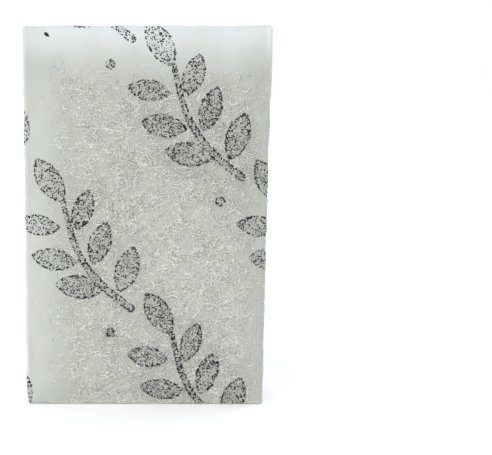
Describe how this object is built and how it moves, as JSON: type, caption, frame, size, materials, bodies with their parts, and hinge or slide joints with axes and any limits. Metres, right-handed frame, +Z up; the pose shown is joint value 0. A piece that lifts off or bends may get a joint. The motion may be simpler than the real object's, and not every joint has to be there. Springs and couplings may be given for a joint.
{
  "type": "scouring pad",
  "caption": "Lofty non-woven fibre scouring pad: a soft rectangular block with pressed broad faces, squeezed cut edges and a grey leaf print, standing on a short end.",
  "frame": {"origin": "centre of the flat cut end that the pad stands on", "axes": "+Z up the pad's length, +X across its width, +Y through its thickness towards the back face, so that the front face looks along -Y"},
  "size_m": [0.095, 0.027, 0.1507],
  "materials": {
    "fibre_web": "matte tangled white fibre, with grey stippled ink on the two broad faces"
  },
  "bodies": {
    "root": {"scouring_pad": "fibre_web"}
  },
  "joints": []
}
